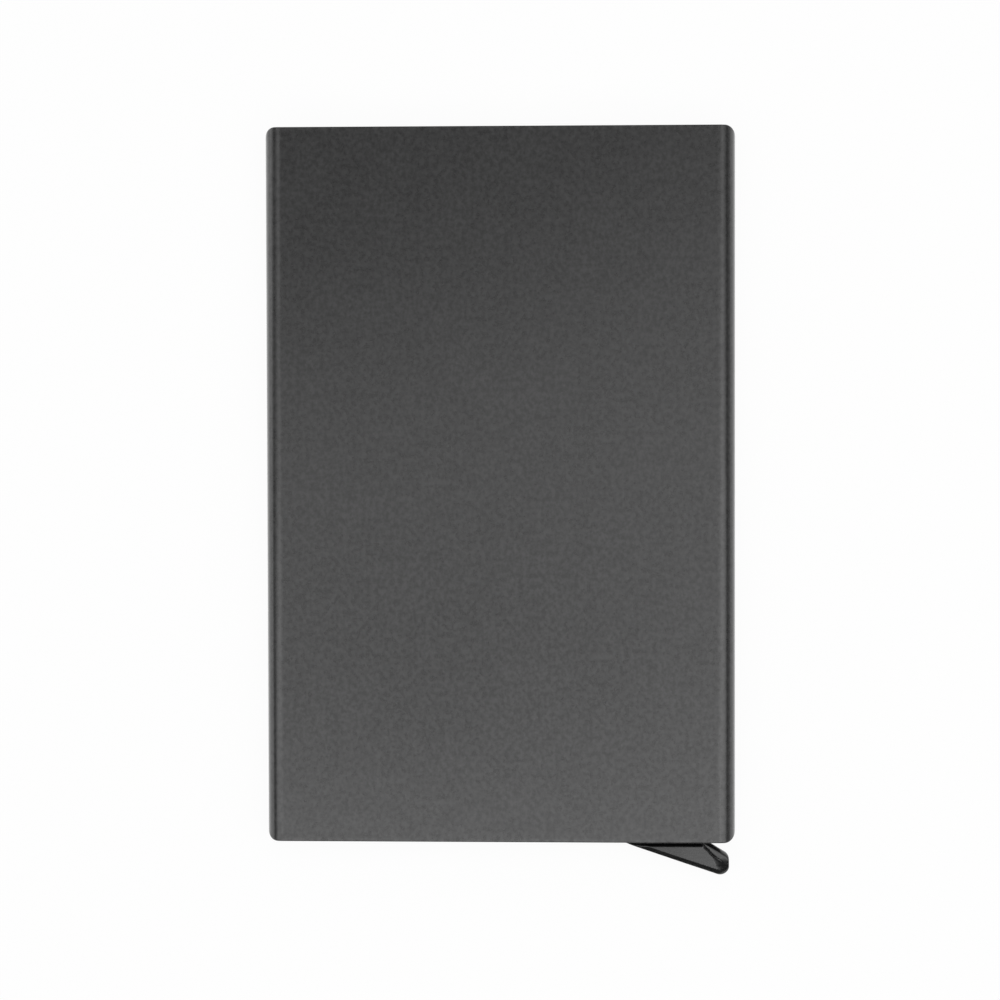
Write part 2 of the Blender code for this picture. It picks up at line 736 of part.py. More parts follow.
def make_rail(name, side):
    section = rounded(
        [
            (RAIL_FACE, INSERT_LOW, 0.0),
            (INSERT_HALF_WIDTH, INSERT_LOW, INSERT_RADIUS),
            (INSERT_HALF_WIDTH, INSERT_HIGH, INSERT_RADIUS),
            (RAIL_FACE, INSERT_HIGH, 0.0),
        ]
    )
    rail = prism(name, [mirrored(section, side)], RAIL_LOW, RAIL_HIGH, along="Y")
    half_length = SPRING_LENGTH / 2 + SPRING_POCKET_GAP
    half_width = SPRING_WIDTH / 2 + SPRING_POCKET_GAP
    open_x, floor_x = RAIL_FACE - CUT_OVERRUN, RAIL_FACE + SPRING_POCKET_DEPTH
    x_low, x_high = sorted((side * open_x, side * floor_x))
    cut(
        rail,
        block(
            "spring_pocket",
            (x_low, SPRING_CENTRE - half_length, MID_DEPTH - half_width),
            (x_high, SPRING_CENTRE + half_length, MID_DEPTH + half_width),
        ),
    )
    lead_in = [
        Vector((RAIL_FACE - CUT_OVERRUN, RAIL_HIGH + CUT_OVERRUN)),
        Vector((RAIL_FACE - CUT_OVERRUN, RAIL_HIGH - RAIL_LEAD_IN - CUT_OVERRUN)),
        Vector((RAIL_FACE + RAIL_LEAD_IN + CUT_OVERRUN, RAIL_HIGH + CUT_OVERRUN)),
    ]
    wedge = mirrored(lead_in, side)
    cut(rail, prism("lead_in", [wedge], INSERT_LOW - CUT_OVERRUN, INSERT_HIGH + CUT_OVERRUN))
    join(rail, catch("rail_catch", side, RAIL_CATCH_LOW, ramp_up=False))
    return dress(rail, "black_plastic")


def make_spring(name, side):
    """A strip bent to a bow. Its crown presses on the card, and its ends stand in the rail's pocket."""
    crown = CARD_WIDTH / 2 + SPRING_CARD_GAP
    ends = RAIL_FACE + SPRING_POCKET_DEPTH - SEAT_GAP - SPRING_THICKNESS
    near, far = [], []
    for i in range(SPRING_STEPS + 1):
        share = 2 * i / SPRING_STEPS - 1
        y = SPRING_CENTRE + share * SPRING_LENGTH / 2
        bow = (1 + math.cos(math.pi * share)) / 2
        x = ends - (ends - crown) * bow
        near.append(Vector((x, y)))
        far.append(Vector((x + SPRING_THICKNESS, y)))
    half = SPRING_WIDTH / 2
    outline = mirrored(near + far[::-1], side)
    spring = prism(name, [outline], MID_DEPTH - half, MID_DEPTH + half)
    return dress(spring, "spring_steel")


def make_felt(name, side, low):
    x = side * (RAIL_FACE - FELT_INSET - FELT_WIDTH / 2)
    high = HALF_LENGTH - FELT_DROP
    outline = rounded(
        [
            (x - FELT_WIDTH / 2, high - FELT_LENGTH, FELT_RADIUS),
            (x + FELT_WIDTH / 2, high - FELT_LENGTH, FELT_RADIUS),
            (x + FELT_WIDTH / 2, high, FELT_RADIUS),
            (x - FELT_WIDTH / 2, high, FELT_RADIUS),
        ]
    )
    return dress(prism(name, [outline], low, low + FELT_THICKNESS), "felt")


def make_holder():
    make_case()
    make_tray()
    make_cover()
    for number, place in enumerate(SCREW_PLACES, start=1):
        make_screw(f"cover_screw_{number}", place)
    make_pin()
    make_washer("pivot_washer_rear", CHAMBER_LOW + RUN_GAP)
    make_washer("pivot_washer_front", CHAMBER_HIGH - RUN_GAP - WASHER_THICKNESS)
    make_lever()
    make_bumper()
    for hand, side in (("left", -1), ("right", 1)):
        make_rail(f"guide_rail_{hand}", side)
        make_spring(f"brake_spring_{hand}", side)
        make_felt(f"felt_strip_rear_{hand}", side, BORE_LOW + GLUE_GAP)
        make_felt(f"felt_strip_front_{hand}", side, BORE_HIGH - GLUE_GAP - FELT_THICKNESS)


make_holder()
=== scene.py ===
"""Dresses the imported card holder: finer pieces, materials, light and camera."""

import math

import bmesh
import bpy
import numpy as np
from mathutils import Matrix, Vector
from mathutils.geometry import delaunay_2d_cdt


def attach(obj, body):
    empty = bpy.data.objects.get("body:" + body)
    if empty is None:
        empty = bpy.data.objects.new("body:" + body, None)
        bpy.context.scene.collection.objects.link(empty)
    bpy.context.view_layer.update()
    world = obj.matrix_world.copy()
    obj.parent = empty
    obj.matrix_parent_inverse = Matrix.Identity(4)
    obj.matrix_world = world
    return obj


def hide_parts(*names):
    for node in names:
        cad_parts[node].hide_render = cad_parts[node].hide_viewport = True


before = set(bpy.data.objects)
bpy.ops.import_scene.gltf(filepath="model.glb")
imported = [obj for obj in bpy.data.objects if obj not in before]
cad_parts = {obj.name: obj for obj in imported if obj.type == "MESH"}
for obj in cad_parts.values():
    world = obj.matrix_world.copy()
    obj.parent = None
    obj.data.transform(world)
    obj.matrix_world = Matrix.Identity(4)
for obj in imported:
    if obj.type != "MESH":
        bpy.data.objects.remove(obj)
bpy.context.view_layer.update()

MM = 0.001
TINY = 1e-6

# The sleeve, in millimetres. SIDE_HALF_DEPTH only has to lie below the rounding of the long edges.
HALF_WIDTH, HALF_LENGTH, MID = 31.5, 48.0, 4.0
BORE_HALF_WIDTH, BORE_HALF_DEPTH, BORE_RADIUS = 30.5, 3.1, 0.8
EDGE_EXTENT, EDGE_EASE, SIDE_HALF_DEPTH = 2.4, 0.04, 1.2
EDGE_STEPS, FINE_STEPS, OUTER_BREAK_STEPS, BORE_BREAK_STEPS = 22, 2000, 5, 4
CORNER_RADIUS = 1.4
END_BREAK, WEAR_REACH, MEAN_WALL = 0.16, 0.7, 0.95
END_SHARES = (0.3, 0.42, 0.55, 0.7)
# How worn the coat is before, on and after the outer edge of an end, on the end, before the bore's
# edge and on it
WEAR_BEFORE, WEAR_EDGE, WEAR_AFTER, WEAR_END, WEAR_INNER, WEAR_BORE = 0.75, 1.0, 0.8, 0.1, 0.2, 0.3
POCKET_HALF_DEPTH, POCKET_FLOOR = 1.65, 30.95
POCKET_SPANS = ((42.75, 44.45), (-40.45, -38.75))

# The lever's outline and thickness, in millimetres
PIVOT = np.array((28.1, -43.2))
HUB_RADIUS = 2.1
TAB_SLOPE = math.radians(18.5)
TAB_START = np.array((15.42, -48.0))
NOSE_X, NOSE_RADIUS = 30.7, 1.2
FLANK_START, FLANK_SLOPE = np.array((27.14, -48.0)), math.radians(-31.5)
NOTCH_X, NOTCH_RADIUS = 26.45, 0.4
NOSE_STEPS, NOTCH_STEPS = 20, 10
SEAM_Y, SEAM_OVERLAP = -46.0, 0.05
HALF_THICKNESS, WEB_DEPTH = 1.8, 0.7

# The tab's rim: its widths at the flank and below, its tilt at its inner edge and its tilts at the
# outline. It changes from the flank's to the lower one with the depth under the flank.
FLANK_RIM, LOWER_RIM = 0.18, 0.56
RIM_TILT, FLANK_TILT, LOWER_TILT = math.radians(21), math.radians(48), math.radians(40)
RIM_CHANGE_START, RIM_CHANGE_LENGTH, RIM_MARGIN = 1.0, 1.2, 0.02
WALL_TILTS = math.radians(48), math.radians(86)

# The ridge between the web and the flank: a slope that rises from its toe to its crest. Along the
# ridge it is a hollow under a rounded crest, and at the nose it is a plain ramp.
NOSE_START, NOSE_LENGTH, CREST_START = -50.0, 1.6, 0.92
HOLLOW_START, HOLLOW_GROWTH, RAMP_START = 0.15, 2.55, 0.3
LEAST_SLOPE_WIDTH = 0.01
CREST_LINE = (
    (8.0, -45.0), (26.2, -45.0), (26.8, -47.6), (27.3, -48.37), (27.76, -48.88), (28.1, -49.15),
    (28.3, -49.42), (28.57, -49.69), (28.88, -49.95), (29.24, -50.22), (29.62, -50.5), (29.92, -50.77),
    (30.18, -51.06), (30.3, -51.36), (30.34, -51.86), (30.35, -52.6), (30.35, -54.5), (8.0, -54.5),
)
TOE_LINE = (
    (8.0, -45.0), (25.7, -45.0), (26.32, -47.75), (26.92, -48.7), (27.38, -49.2), (27.72, -49.47),
    (27.95, -49.78), (28.22, -50.05), (28.42, -50.25), (28.55, -50.5), (28.62, -50.8), (28.65, -51.2),
    (28.65, -54.5), (8.0, -54.5),
)

# How the front of the tab falls along the ridge and bends down at the nose, how its web twists, and
# how the web dips where it runs into the sleeve
RIDGE_LEAN_Y, RIDGE_LEAN = -48.4, 0.05
NOSE_FALL_Y, NOSE_BEND, NOSE_BEND_LENGTH = -50.0, 0.13, 1.4
WEB_TWIST, TWIST_X, TWIST_LENGTH = (-0.03, 0.06), 22.0, 6.5
DIP_START, DIP_LENGTH, DIP_DEPTH = -48.98, 0.75, 0.55

# How finely the tab's mesh is made, and the step over which its slope is measured
OUTLINE_SPACING, GRID_SPACING, GRID_GAP, RIM_RINGS = 0.12, 0.11, 0.05, 8
LEAST_TURN, SLOPE_STEP = 1e-9, 0.01

# Pieces kept from the CAD
WELD_DISTANCE = 0.002
BEVEL_ANGLE, SHARP_ANGLE = math.radians(40), math.radians(35)

# Most of a noise lies in this range.
NOISE_RANGE = (0.3, 0.7)


# ---------------------------------------------------------------- small helpers

def mesh_object(name, points, faces, normals, body="holder", replaces=(), wear=None):
    """A smooth piece from points in millimetres, with a normal for each of them."""
    mesh = bpy.data.meshes.new(name)
    mesh.from_pydata([tuple(float(v) * MM for v in p) for p in points], [], faces)
    mesh.validate()
    mesh.shade_smooth()
    mesh.normals_split_custom_set_from_vertices([tuple(float(v) for v in n) for n in normals])
    if wear is not None:
        values = mesh.attributes.new("edge_wear", "FLOAT", "POINT")
        values.data.foreach_set("value", np.array(wear, np.float32))
    obj = bpy.data.objects.new(name, mesh)
    bpy.context.scene.collection.objects.link(obj)
    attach(obj, body)
    if replaces:
        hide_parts(*replaces)
    return obj


def unit(v):
    """The vectors, each made one long."""
    v = np.asarray(v, float)
    length = np.linalg.norm(v, axis=-1, keepdims=True)
    return v / np.maximum(length, 1e-12)


def paint(obj, material):
    """Give the piece this material alone."""
    obj.data.materials.clear()
    obj.data.materials.append(material)


# ---------------------------------------------------------------- materials

class Nodes:
    """Builds the nodes of one Principled material."""

    def __init__(self, name, colour, roughness, metallic=0.0, **sockets):
        self.material = bpy.data.materials.new(name)
        self.material.use_nodes = True
        self.tree = self.material.node_tree
        self.shader = self.tree.nodes["Principled BSDF"]
        self.shader.inputs["Base Color"].default_value = (*colour, 1)
        self.shader.inputs["Roughness"].default_value = roughness
        self.shader.inputs["Metallic"].default_value = metallic
        for socket, value in sockets.items():
            self.shader.inputs[socket.replace("_", " ")].default_value = value
        self.coordinates = self.tree.nodes.new("ShaderNodeTexCoord").outputs["Object"]

    def set(self, node, values):
        """Link or write each value into its socket."""
        for socket, value in values.items():
            target = node.inputs[socket]
            if isinstance(value, bpy.types.NodeSocket):
                self.tree.links.new(value, target)
            else:
                target.default_value = value
        return node

    def node(self, kind, values=(), **settings):
        """A new node with these settings and values."""
        made = self.tree.nodes.new(kind)
        for name, value in settings.items():
            setattr(made, name, value)
        return self.set(made, dict(values))

    def stretch(self, scale):
        """Object coordinates in millimetres, stretched by scale."""
        factors = [1000 * s for s in scale]
        made = self.node("ShaderNodeMapping", {"Vector": self.coordinates, "Scale": factors})
        return made.outputs["Vector"]

    def noise(self, size, detail=2.0, stretch=(1, 1, 1), rough=0.5):
        """Noise whose features are about this many millimetres."""
        made = self.node(
            "ShaderNodeTexNoise",
            {"Vector": self.stretch(stretch), "Scale": 1 / size, "Detail": detail, "Roughness": rough},
        )
        return made.outputs["Fac"]

    def cells(self, size):
        """Distance from scattered points about this many millimetres apart."""
        values = {"Vector": self.stretch((1, 1, 1)), "Scale": 1 / size}
        return self.node("ShaderNodeTexVoronoi", values, feature="F1").outputs["Distance"]

    def spread(self, value, low, high, to_low, to_high):
        """The value carried over from one range to another."""
        made = self.node(
            "ShaderNodeMapRange",
            {0: value, "From Min": low, "From Max": high, "To Min": to_low, "To Max": to_high},
        )
        return made.outputs[0]

    def vary(self, noise, to_low, to_high):
        """From low to high as the noise goes through its range."""
        return self.spread(noise, *NOISE_RANGE, to_low, to_high)

    def sum(self, a, b, operation="ADD"):
        """The sum of two values, or what another operation makes of them."""
        made = self.tree.nodes.new("ShaderNodeMath")
        made.operation = operation
        self.set(made, {0: a, 1: b})
        return made.outputs[0]

    def mix(self, share, a, b):
        """The colour between a and b at this share."""
        made = self.tree.nodes.new("ShaderNodeMix")
        made.data_type = "RGBA"
        self.set(made, {0: share, 6: a, 7: b})
        return made.outputs[2]

    def bump(self, height, distance, normal=None):
        """A normal from heights of up to this many millimetres."""
        values = {"Height": height, "Distance": distance * MM, "Strength": 1.0}
        if normal is not None:
            values["Normal"] = normal
        return self.node("ShaderNodeBump", values).outputs["Normal"]

    def finish(self, **sockets):
        """Write what the surface is made of and return the material."""
        self.set(self.shader, {name.replace("_", " "): value for name, value in sockets.items()})
        return self.material


def grey(level, tint=(1, 1, 1)):
    """A colour of this level with a slight tint."""
    return tuple(level * t for t in tint) + (1,)


def anodised():
    """Bead-blasted aluminium under a dark grey anodised layer."""
    m = Nodes(
        "anodised_aluminium", (0.032, 0.032, 0.032), 0.3, 1.0,
        Coat_Weight=1.0, Coat_Roughness=0.25, Coat_IOR=1.6,
    )
    blast = m.noise(0.62, 2.0, stretch=(1, 0.85, 1), rough=0.6)
    clouds = m.noise(9.0, 2.0)
    speck = m.cells(0.6)
    fine = m.spread(blast, 0.36, 0.64, -0.33, 0.33)
    tone = m.sum(fine, m.vary(m.noise(2.6, 2.0), -0.1, 0.1))
    tone = m.sum(tone, m.vary(clouds, -0.05, 0.05))
    tone = m.sum(tone, m.spread(speck, 0.0, 0.2, 0.5, 0.0))
    base = m.mix(m.spread(tone, -1.0, 1.0, 0.0, 1.0), grey(0.003), grey(0.062, (1, 1, 1.01)))
    wear_mask = m.node("ShaderNodeAttribute", attribute_name="edge_wear").outputs["Fac"]
    worn = m.sum(m.spread(m.noise(0.9, 3.0), 0.42, 0.62, 0.0, 1.0), wear_mask, "MULTIPLY")
    colour = m.mix(m.spread(worn, 0.0, 1.0, 0.0, 0.12), base, grey(0.22))
    roughness = m.sum(m.spread(blast, 0.36, 0.64, 0.27, 0.33), m.vary(clouds, -0.02, 0.02))
    normal = m.bump(m.noise(0.22, 2.0, rough=0.6), 0.005)
    return m.finish(Base_Color=colour, Roughness=roughness, Normal=normal, Coat_Normal=normal)


def gloss_black():
    """The lever's polished black plastic, with fine rubbing marks and a faint moulding ripple."""
    m = Nodes("gloss_black_plastic", (0.006, 0.006, 0.0062), 0.22, 0.0, IOR=1.7)
    ripple = m.noise(1.4, 2.0)
    grain = m.noise(0.12, 2.0, rough=0.7)
    marks = m.noise(0.5, 3.0, stretch=(0.25, 2.5, 1))
    tone = m.mix(m.spread(marks, 0.55, 0.75, 0.0, 1.0), grey(0.005, (1, 1, 1.05)), grey(0.011))
    roughness = m.sum(m.spread(marks, 0.35, 0.7, 0.2, 0.32), m.vary(grain, -0.03, 0.03))
    normal = m.bump(grain, 0.003, normal=m.bump(ripple, 0.02))
    return m.finish(Base_Color=tone, Roughness=roughness, Normal=normal)


def moulded_black():
    """Matt black moulded plastic with a fine spark-eroded texture."""
    m = Nodes("moulded_black_plastic", (0.012, 0.012, 0.013), 0.55)
    grain = m.noise(0.11, 3.0, rough=0.7)
    patches = m.noise(3.0, 2.0)
    tone = m.mix(m.vary(grain, 0.0, 1.0), grey(0.010, (1, 1, 1.06)), grey(0.017))
    roughness = m.sum(m.vary(grain, 0.48, 0.62), m.vary(patches, -0.04, 0.04))
    return m.finish(Base_Color=tone, Roughness=roughness, Normal=m.bump(grain, 0.012))


def steel(name, level, roughness, stretch):
    """Drawn or ground steel, with its marks along the axis that has the least stretch."""
    m = Nodes(name, (level, level, level), roughness, 1.0)
    lines = m.noise(0.08, 3.0, stretch=stretch)
    clouds = m.noise(1.2, 2.0)
    tone = m.mix(m.vary(clouds, 0.0, 1.0), grey(level * 0.82, (1, 1, 0.97)), grey(level * 1.1))
    rough = m.vary(lines, roughness * 0.7, roughness * 1.5)
    return m.finish(Base_Color=tone, Roughness=rough, Normal=m.bump(lines, 0.003))


def slip_plastic():
    """Natural white plastic that light enters a little."""
    m = Nodes(
        "white_slip_plastic", (0.7, 0.7, 0.68), 0.5,
        Subsurface_Weight=0.15, Subsurface_Scale=0.0006,
    )
    grain = m.noise(0.15, 2.0)
    tone = m.mix(m.vary(grain, 0.0, 1.0), grey(0.64, (1, 1, 0.96)), grey(0.74, (1, 1, 0.98)))
    roughness = m.vary(grain, 0.42, 0.58)
    return m.finish(Base_Color=tone, Roughness=roughness, Normal=m.bump(grain, 0.004))


def rubber():
    """Soft black rubber with some dust."""
    m = Nodes("soft_rubber", (0.03, 0.03, 0.03), 0.8)
    dust = m.noise(0.3, 4.0, rough=0.7)
    tone = m.mix(m.spread(dust, 0.4, 0.75, 0.0, 1.0), grey(0.026), grey(0.05))
    roughness = m.vary(dust, 0.72, 0.9)
    return m.finish(Base_Color=tone, Roughness=roughness, Normal=m.bump(dust, 0.01))


def felt():
    """Short pressed fibres with a soft sheen."""
    m = Nodes("black_felt", (0.02, 0.02, 0.022), 0.95, Sheen_Weight=0.35, Sheen_Roughness=0.6)
    fibres = m.noise(0.12, 4.0, stretch=(1, 0.35, 1), rough=0.75)
    tufts = m.noise(0.7, 3.0)
    share = m.sum(m.vary(fibres, 0.0, 0.8), m.vary(tufts, 0.0, 0.3))
    tone = m.mix(share, grey(0.010, (1, 1, 1.1)), grey(0.04, (1, 1, 1.06)))
    return m.finish(Base_Color=tone, Normal=m.bump(m.sum(fibres, tufts), 0.06))


# ---------------------------------------------------------------- the sleeve

def eased_corner(extent, steps):
    """A right-angled bend with an even curvature: (x, z) from its start, and its normals' angles."""
    s = np.linspace(0, 1, FINE_STEPS + 1)
    bend = np.clip(np.minimum(s, 1 - s) / EDGE_EASE, 0, 1)
    bend = bend * bend * (3 - 2 * bend)
    angle = np.concatenate([[0], np.cumsum((bend[1:] + bend[:-1]) / 2)])
    angle *= math.pi / 2 / angle[-1]
    mid = (angle[1:] + angle[:-1]) / 2
    x = np.concatenate([[0], np.cumsum(np.cos(mid))])
    z = np.concatenate([[0], np.cumsum(-np.sin(mid))])
    scale = extent / x[-1]
    wanted = np.linspace(0, math.pi / 2, steps + 1)
    at = [np.interp(wanted, angle, v) for v in (x * scale, z * scale)]
    return np.stack(at, 1), wanted


def section(half_width, half_depth, extent, bend, angles, side_z):
    """A quarter of a section, from the middle of the front to the middle of a side, and its normals."""
    points = [(0.0, half_depth)]
    normals = [(0.0, 1.0)]
    for (x, z), angle in zip(bend, angles):
        points.append((half_width - extent + x, half_depth + z))
        normals.append((math.sin(angle), math.cos(angle)))
    for z in (side_z, 0.0):
        points.append((half_width, z))
        normals.append((1.0, 0.0))
    return np.array(points), np.array(normals)


def whole_loop(points, normals):
    """The closed loop from its quarter, by two reflections."""
    out_points, out_normals = [], []
    for sx, sz, step in ((1, 1, 1), (1, -1, -1), (-1, -1, 1), (-1, 1, -1)):
        quarter = list(zip(points, normals))[::step]
        for p, n in quarter[:-1]:
            out_points.append((p[0] * sx, p[1] * sz))
            out_normals.append((n[0] * sx, n[1] * sz))
    return np.array(out_points), np.array(out_normals)


def end_of(x):
    """How far the sleeve reaches at x, less in its rounded corners, and that curve's slope."""
    over = np.clip(np.abs(x) - (HALF_WIDTH - CORNER_RADIUS), 0, CORNER_RADIUS)
    drop = CORNER_RADIUS - np.sqrt(np.maximum(CORNER_RADIUS**2 - over**2, 0))
    return HALF_LENGTH - drop, over / CORNER_RADIUS * np.sign(x)


def end_surface(loop_point):
    """Points and normals on the end's curved face, above places in the section."""
    y, lean = end_of(loop_point[:, 0])
    points = np.stack([loop_point[:, 0], y, loop_point[:, 1]], 1)
    normals = np.stack([lean, np.sqrt(np.maximum(1 - lean**2, 0)), np.zeros(len(lean))], 1)
    return points, normals


def edge_arc(start, corner, end, from_normal, to_normal, steps):
    """The rounding of an edge: points on a bend from start to end, and the normals on it."""
    made = []
    for i in range(1, steps):
        t = i / steps
        point = (1 - t) ** 2 * start + 2 * t * (1 - t) * corner + t * t * end
        made.append((point, unit((1 - t) * from_normal + t * to_normal)))
    return made


def make_sleeve():
    """The extruded sleeve: rings of points from the outside over the ends to the bore."""
    bend, angles = eased_corner(EDGE_EXTENT, EDGE_STEPS)
    arc_angles = np.linspace(0, math.pi / 2, EDGE_STEPS + 1)
    bore_bend = BORE_RADIUS * np.stack([np.sin(arc_angles), np.cos(arc_angles) - 1], 1)
    outer, outer_n = whole_loop(
        *section(HALF_WIDTH, MID, EDGE_EXTENT, bend, angles, SIDE_HALF_DEPTH)
    )
    inner, inner_n = whole_loop(
        *section(
            BORE_HALF_WIDTH, BORE_HALF_DEPTH, BORE_RADIUS, bore_bend, arc_angles, POCKET_HALF_DEPTH
        )
    )
    count = len(outer)

    def at(loop, y):
        """The loop's points or normals in space, at y."""
        return np.stack([loop[:, 0], y, loop[:, 1]], 1)

    def across_end(t):
        """Points and normals on the end at this share of the way from the outside to the bore."""
        return end_surface(outer * (1 - t) + inner * t)

    outer_n3, inner_n3 = at(outer_n, np.zeros(count)), -at(inner_n, np.zeros(count))

    # Rings from the outside, over the end at +Y, to the inside. Each is (points, normals, wear).
    outer_y, _ = end_of(outer[:, 0])
    inner_y, _ = end_of(inner[:, 0])
    share = END_BREAK / MEAN_WALL
    rings = [
        (at(outer, outer_y - WEAR_REACH), outer_n3, 0.0),
        (at(outer, outer_y - END_BREAK), outer_n3, WEAR_BEFORE),
    ]
    near, near_n = across_end(share)
    arc = edge_arc(rings[-1][0], at(outer, outer_y), near, outer_n3, near_n, OUTER_BREAK_STEPS)
    rings += [(p, n, WEAR_EDGE) for p, n in arc]
    rings.append((near, near_n, WEAR_AFTER))
    rings += [(*across_end(t), WEAR_END) for t in END_SHARES]
    far, far_n = across_end(1 - share)
    rings.append((far, far_n, WEAR_INNER))
    inside = at(inner, inner_y - END_BREAK)
    arc = edge_arc(far, at(inner, inner_y), inside, far_n, inner_n3, BORE_BREAK_STEPS)
    rings += [(p, n, WEAR_BORE) for p, n in arc]
    rings.append((inside, inner_n3, 0.0))

    # The far end is the same, reflected, and the bore joins the two.
    flip = np.array((1.0, -1.0, 1.0))
    ring_list = list(rings)
    for y in (POCKET_SPANS[0][1], POCKET_SPANS[0][0], POCKET_SPANS[1][1], POCKET_SPANS[1][0]):
        ring_list.append((at(inner, np.full(count, y)), inner_n3, 0.0))
    ring_list += [(p * flip, n * flip, w) for p, n, w in rings[::-1]]

    points = np.concatenate([r[0] for r in ring_list])
    normals = np.concatenate([r[1] for r in ring_list])
    wear = np.concatenate([np.full(count, r[2]) for r in ring_list])
    # The pockets open into the bore in these two bands.
    pocket_rows = (len(rings), len(rings) + 2)
    on_side = np.isclose(np.abs(inner[:, 0]), BORE_HALF_WIDTH)
    faces = []
    total = len(ring_list)
    for row in range(total):
        here, there = row * count, (row + 1) % total * count
        for i in range(count):
            j = (i + 1) % count
            narrow = max(abs(inner[i, 1]), abs(inner[j, 1])) <= POCKET_HALF_DEPTH + TINY
            if row in pocket_rows and on_side[i] and on_side[j] and narrow:
                continue
            faces.append((here + i, here + j, there + j, there + i))

    # Blind pockets in the side walls for the snap catches
    points, normals, wear = list(points), list(normals), list(wear)

    def wall(corners, normal):
        """Add a flat wall that faces this way."""
        first = len(points)
        points.extend(np.array(c, float) for c in corners)
        normals.extend([np.array(normal, float)] * 4)
        wear.extend([0.0] * 4)
        a, b, c = (np.array(corners[k], float) for k in (0, 1, 2))
        order = (0, 1, 2, 3) if np.dot(np.cross(b - a, c - b), normal) > 0 else (3, 2, 1, 0)
        faces.append(tuple(first + k for k in order))

    for side in (-1, 1):
        for y0, y1 in POCKET_SPANS:
            x0, x1, d = side * BORE_HALF_WIDTH, side * POCKET_FLOOR, POCKET_HALF_DEPTH
            for z0, z1 in ((-d, 0), (0, d)):
                wall([(x1, y0, z0), (x1, y1, z0), (x1, y1, z1), (x1, y0, z1)], (-side, 0, 0))
                for y, way in ((y0, 1), (y1, -1)):
                    wall([(x0, y, z0), (x1, y, z0), (x1, y, z1), (x0, y, z1)], (0, way, 0))
            for z, way in ((-d, 1), (d, -1)):
                wall([(x0, y0, z), (x1, y0, z), (x1, y1, z), (x0, y1, z)], (0, 0, way))
    points = np.array(points)
    points[:, 2] += MID
    return mesh_object(
        "sleeve", points, faces, normals, replaces=("case_shell",), wear=wear
    )


# ---------------------------------------------------------------- the lever

def line_to(point, slope, x=None, y=None):
    """Where the line through point with this slope reaches x or y."""
    if x is not None:
        return np.array((x, point[1] + (x - point[0]) * math.tan(slope)))
    return np.array((point[0] + (y - point[1]) / math.tan(slope), y))


def fillet(before, corner, after, radius, steps):
    """The arc tangent to both sides of a corner."""
    a, b = unit(before - corner), unit(after - corner)
    half = math.acos(float(np.clip(a @ b, -1, 1))) / 2
    centre = corner + unit(a + b) * radius / math.sin(half)
    first = corner + a * radius / math.tan(half) - centre
    last = corner + b * radius / math.tan(half) - centre
    start = math.atan2(first[1], first[0])
    turn = math.atan2(first[0] * last[1] - first[1] * last[0], first @ last)
    angles = [start + turn * k / steps for k in range(steps + 1)]
    return [centre + radius * np.array((math.cos(t), math.sin(t))) for t in angles]


def dense(outline, spacing):
    """The closed outline with points no further apart than spacing."""
    made = []
    for a, b in zip(outline, np.roll(outline, -1, axis=0)):
        pieces = max(1, math.ceil(np.linalg.norm(b - a) / spacing))
        made += [a + (b - a) * k / pieces for k in range(pieces)]
    return np.array(made)


def nearest(points, outline):
    """Signed distance of points to a closed outline, above 0 inside, and the way it grows."""
    a, b = outline, np.roll(outline, -1, axis=0)
    best = np.full(len(points), 1e9)
    toward = np.zeros((len(points), 2))
    inside = np.zeros(len(points), bool)
    for p, q in zip(a, b):
        d = q - p
        t = np.clip(((points - p) @ d) / (d @ d), 0, 1)
        gap = points - (p + t[:, None] * d)
        length = np.linalg.norm(gap, axis=1)
        closer = length < best
        best[closer], toward[closer] = length[closer], gap[closer]
        crosses = (p[1] > points[:, 1]) != (q[1] > points[:, 1])
        with np.errstate(divide="ignore", invalid="ignore"):
            x = p[0] + (points[:, 1] - p[1]) * d[0] / d[1]
        inside ^= crosses & (points[:, 0] < x)
    sign = np.where(inside, 1.0, -1.0)
    return best * sign, unit(toward) * sign[:, None]


def smooth(v):
    """From 0 to 1 with no jump in slope or curvature."""
    v = np.clip(v, 0, 1)
    return v * v * v * (v * (6 * v - 15) + 10)


def tab_outline():
    """The tab from the seam round its nose and through the notch at the hub."""
    nose_low = line_to(TAB_START, -TAB_SLOPE, x=NOSE_X)
    nose_high = line_to(FLANK_START, FLANK_SLOPE, x=NOSE_X)
    notch = line_to(FLANK_START, FLANK_SLOPE, x=NOTCH_X)
    towards = notch - PIVOT
    angle = math.atan2(towards[1], towards[0]) + math.acos(HUB_RADIUS / np.linalg.norm(towards))
    hub = PIVOT + HUB_RADIUS * np.array((math.cos(angle), math.sin(angle)))
    left = line_to(TAB_START, -TAB_SLOPE, y=SEAM_Y)
    right = notch + (hub - notch) * (SEAM_Y - notch[1]) / (hub[1] - notch[1])
    corners = [left]
    corners += fillet(left, nose_low, nose_high, NOSE_RADIUS, NOSE_STEPS)
    corners += fillet(nose_low, nose_high, notch, NOSE_RADIUS, NOSE_STEPS)
    corners += fillet(nose_high, notch, hub, NOTCH_RADIUS, NOTCH_STEPS)
    corners.append(right)
    return dense(np.array(corners), OUTLINE_SPACING)


def flank_depth(points):
    """How far points lie under the line of the tab's upper flank."""
    normal = np.array((-math.sin(FLANK_SLOPE), math.cos(FLANK_SLOPE)))
    return -(points - FLANK_START) @ normal


def rim_shape(points):
    """The width of the tab's rounded rim and its tilt at the outline, for each of the points."""
    lower = smooth((flank_depth(points) - RIM_CHANGE_START) / RIM_CHANGE_LENGTH)
    width = FLANK_RIM + (LOWER_RIM - FLANK_RIM) * lower
    return width, FLANK_TILT + (LOWER_TILT - FLANK_TILT) * lower


